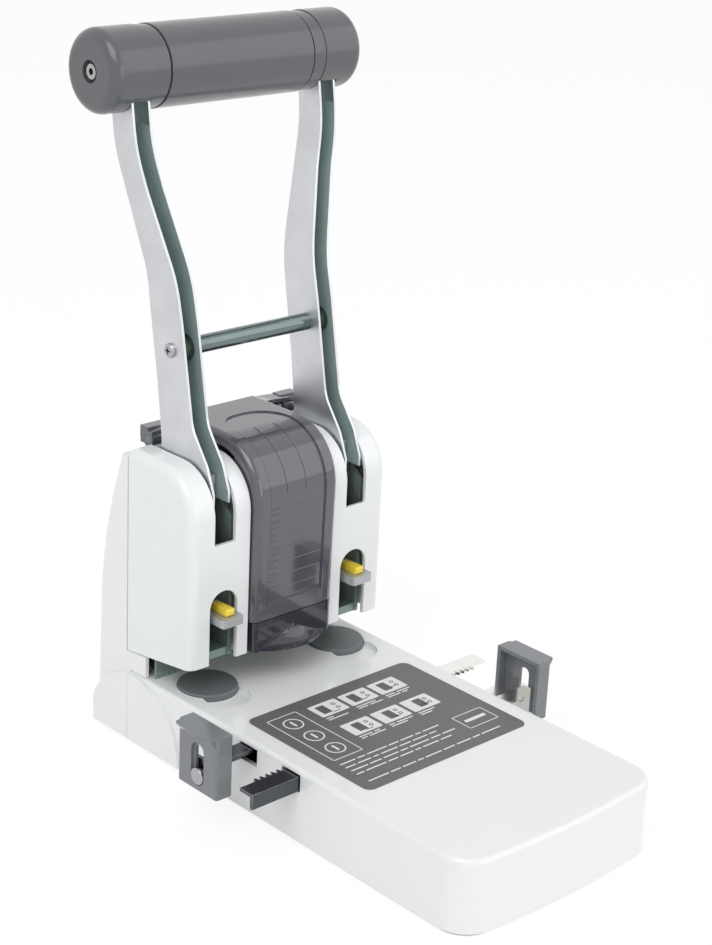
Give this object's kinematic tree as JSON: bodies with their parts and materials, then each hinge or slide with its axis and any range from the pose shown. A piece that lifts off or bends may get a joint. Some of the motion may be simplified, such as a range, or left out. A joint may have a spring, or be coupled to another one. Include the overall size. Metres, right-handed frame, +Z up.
{
  "type": "hole punch",
  "caption": "Hand-lever paper punch for filing holes: white base, tall lever with bar grip, smoked chip bin, geared side guides and turnable cutting discs.",
  "frame": {"origin": "on the desk, midway between the two punch axes", "axes": "+Z up from the desk, -Y towards the person at the lever, +X to that person's right"},
  "size_m": [0.1792, 0.2599, 0.3335],
  "materials": {
    "white_shell": "satin moulded",
    "cool_white": "glossy",
    "smoked": "smoked, transparent",
    "rubber_mat": "matt",
    "plate_print": "satin print",
    "frame_steel": "dark",
    "plated_steel": "zinc plated",
    "chrome": "polished",
    "dark_bush": "satin",
    "screw_steel": "plated",
    "grip_plastic": "satin",
    "cast_grey": "grey cast",
    "tool_steel": "ground",
    "yellow": "satin",
    "disc_dark": "satin",
    "guide_grey": "satin",
    "black_plastic": "satin"
  },
  "bodies": {
    "base": {"base_shell": "white_shell", "base_mat": "rubber_mat", "base_plate": "frame_steel", "base_screws": "screw_steel", "instruction_plate": "plate_print", "anvil_left": "frame_steel", "anvil_right": "frame_steel", "tower_left": "frame_steel", "tower_right": "frame_steel", "tower_screws": "screw_steel", "paper_stop": "frame_steel", "shaft_bushes": "dark_bush", "punch_guide_left": "frame_steel", "punch_guide_right": "frame_steel", "return_spring_left": "tool_steel", "return_spring_right": "tool_steel", "pod_cover_left": "cool_white", "pod_cover_right": "cool_white", "pod_screws": "screw_steel", "rear_cover": "white_shell", "cover_screws": "screw_steel", "chip_hopper": "smoked", "cover_hinge_pin": "chrome", "rack_bridge": "black_plastic"},
    "lever": {"main_shaft": "chrome", "shaft_clips": "chrome", "arm_left": "plated_steel", "arm_right": "plated_steel", "drive_pins": "chrome", "tie_bar": "chrome", "tie_bar_spacers": "dark_bush", "tie_bar_screws": "screw_steel", "grip_rod": "chrome", "grip_sleeve": "grip_plastic", "grip_cap_left": "grip_plastic", "grip_cap_right": "grip_plastic", "grip_screws": "screw_steel"},
    "bin_cover": {"waste_cover": "smoked"},
    "drawer": {"chip_drawer": "smoked"},
    "pinion": {"pinion": "black_plastic"},
    "front_rack": {"rack_front": "plated_steel", "guide_stud_right": "chrome"},
    "rear_rack": {"rack_rear": "plated_steel", "guide_stud_left": "chrome"},
    "punch_left": {"punch_holder_left": "cast_grey", "punch_left": "tool_steel"},
    "tab_left": {"release_tab_left": "yellow"},
    "disc_left": {"cutting_disc_left": "disc_dark"},
    "guide_left": {"paper_guide_left": "guide_grey"},
    "punch_right": {"punch_holder_right": "cast_grey", "punch_right": "tool_steel"},
    "tab_right": {"release_tab_right": "yellow"},
    "disc_right": {"cutting_disc_right": "disc_dark"},
    "guide_right": {"paper_guide_right": "guide_grey"}
  },
  "joints": [
    {"name": "lever_swing", "type": "hinge", "parent": "base", "child": "lever", "pos_m": [0, 0.02, 0.124], "axis": [1, 0, 0], "range_deg": [0, 60], "stiffness_Nm_per_rad": 1.5, "springref_deg": -17.19},
    {"name": "punch_slide_left", "type": "slide", "parent": "base", "child": "punch_left", "axis": [0, 0, -1], "range_m": [0, 0.0161], "deforming": ["return_spring_left"]},
    {"name": "tab_turn_left", "type": "hinge", "parent": "punch_left", "child": "tab_left", "pos_m": [-0.04, -0.0105, 0.078], "axis": [0, 0, -1], "range_deg": [0, 20]},
    {"name": "disc_turn_left", "type": "hinge", "parent": "base", "child": "disc_left", "pos_m": [-0.04, -0.007, 0.035], "axis": [0, 0, 1], "continuous": true},
    {"name": "guide_drop_left", "type": "slide", "parent": "rear_rack", "child": "guide_left", "axis": [0, 0, -1], "range_m": [0, 0.012]},
    {"name": "punch_slide_right", "type": "slide", "parent": "base", "child": "punch_right", "axis": [0, 0, -1], "range_m": [0, 0.0161], "deforming": ["return_spring_right"]},
    {"name": "tab_turn_right", "type": "hinge", "parent": "punch_right", "child": "tab_right", "pos_m": [0.04, -0.0105, 0.078], "axis": [0, 0, 1], "range_deg": [0, 20]},
    {"name": "disc_turn_right", "type": "hinge", "parent": "base", "child": "disc_right", "pos_m": [0.04, -0.007, 0.035], "axis": [0, 0, 1], "continuous": true},
    {"name": "guide_drop_right", "type": "slide", "parent": "front_rack", "child": "guide_right", "axis": [0, 0, -1], "range_m": [0, 0.012]},
    {"name": "front_rack_slide", "type": "slide", "parent": "base", "child": "front_rack", "axis": [1, 0, 0], "range_m": [-0.017, 0.07]},
    {"name": "rear_rack_slide", "type": "slide", "parent": "base", "child": "rear_rack", "axis": [-1, 0, 0], "range_m": [-0.0171, 0.0701]},
    {"name": "pinion_spin", "type": "hinge", "parent": "base", "child": "pinion", "pos_m": [0, -0.0755, 0.032], "axis": [0, 0, 1], "range_deg": [-98, 402]},
    {"name": "drawer_slide", "type": "slide", "parent": "base", "child": "drawer", "axis": [0, -1, 0], "range_m": [0, 0.03]},
    {"name": "bin_cover_swing", "type": "hinge", "parent": "base", "child": "bin_cover", "pos_m": [0, 0.033, 0.1465], "axis": [-1, 0, 0], "range_deg": [0, 20]}
  ],
  "couplings": [
    {"joint": "punch_slide_left", "follows": "lever_swing", "m_per_rad": 0.015279},
    {"joint": "punch_slide_right", "follows": "lever_swing", "m_per_rad": 0.015279},
    {"joint": "rear_rack_slide", "follows": "front_rack_slide", "ratio": 1},
    {"joint": "pinion_spin", "follows": "front_rack_slide", "rad_per_m": 100}
  ]
}
